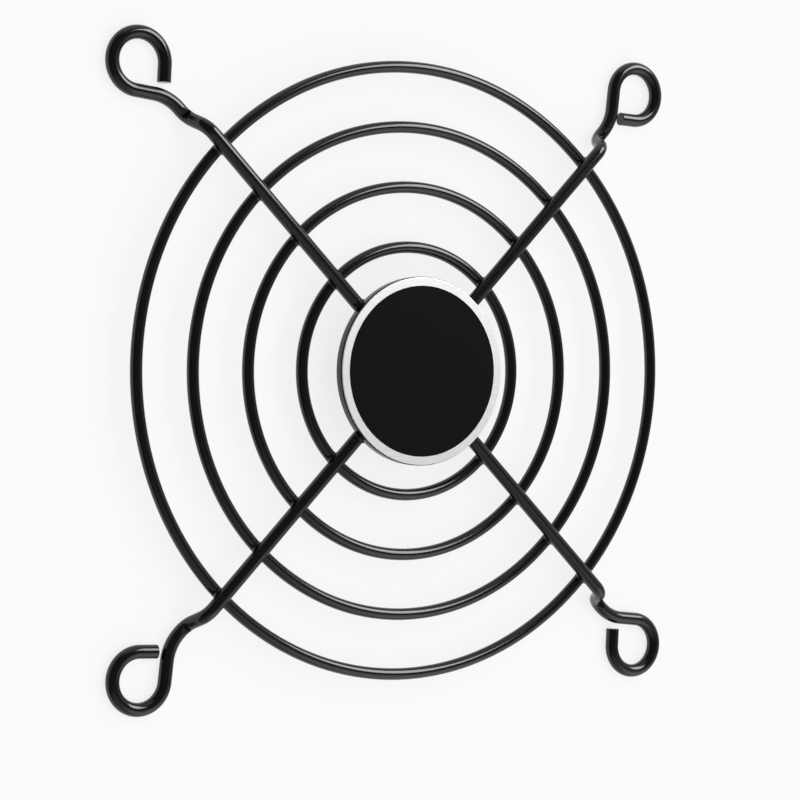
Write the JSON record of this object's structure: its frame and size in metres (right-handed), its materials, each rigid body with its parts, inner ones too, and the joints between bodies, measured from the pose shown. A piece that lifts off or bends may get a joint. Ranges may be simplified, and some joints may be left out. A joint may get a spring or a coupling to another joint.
{
  "type": "wire fan guard",
  "caption": "Round guard of concentric wire rings welded to wire ribs that each end in a screw eyelet, with a round badge at the middle.",
  "frame": {"origin": "middle of the guard, on the surface that it lies on", "axes": "+Z out of the guard's front, +Y towards its upper side, +X to the right as seen from the front"},
  "size_m": [0.0798, 0.0798, 0.0059],
  "materials": {
    "black_coat": "satin black coat on steel wire",
    "badge_plate": "finely brushed",
    "badge_print": "gloss black field, left bare"
  },
  "bodies": {
    "root": {"outer_ring": "black_coat", "third_ring": "black_coat", "second_ring": "black_coat", "inner_ring": "black_coat", "rib_upper_right": "black_coat", "rib_upper_left": "black_coat", "rib_lower_left": "black_coat", "rib_lower_right": "black_coat", "backing_disc": "black_coat", "badge_plate": "badge_plate", "badge_print": "badge_print"}
  },
  "joints": []
}
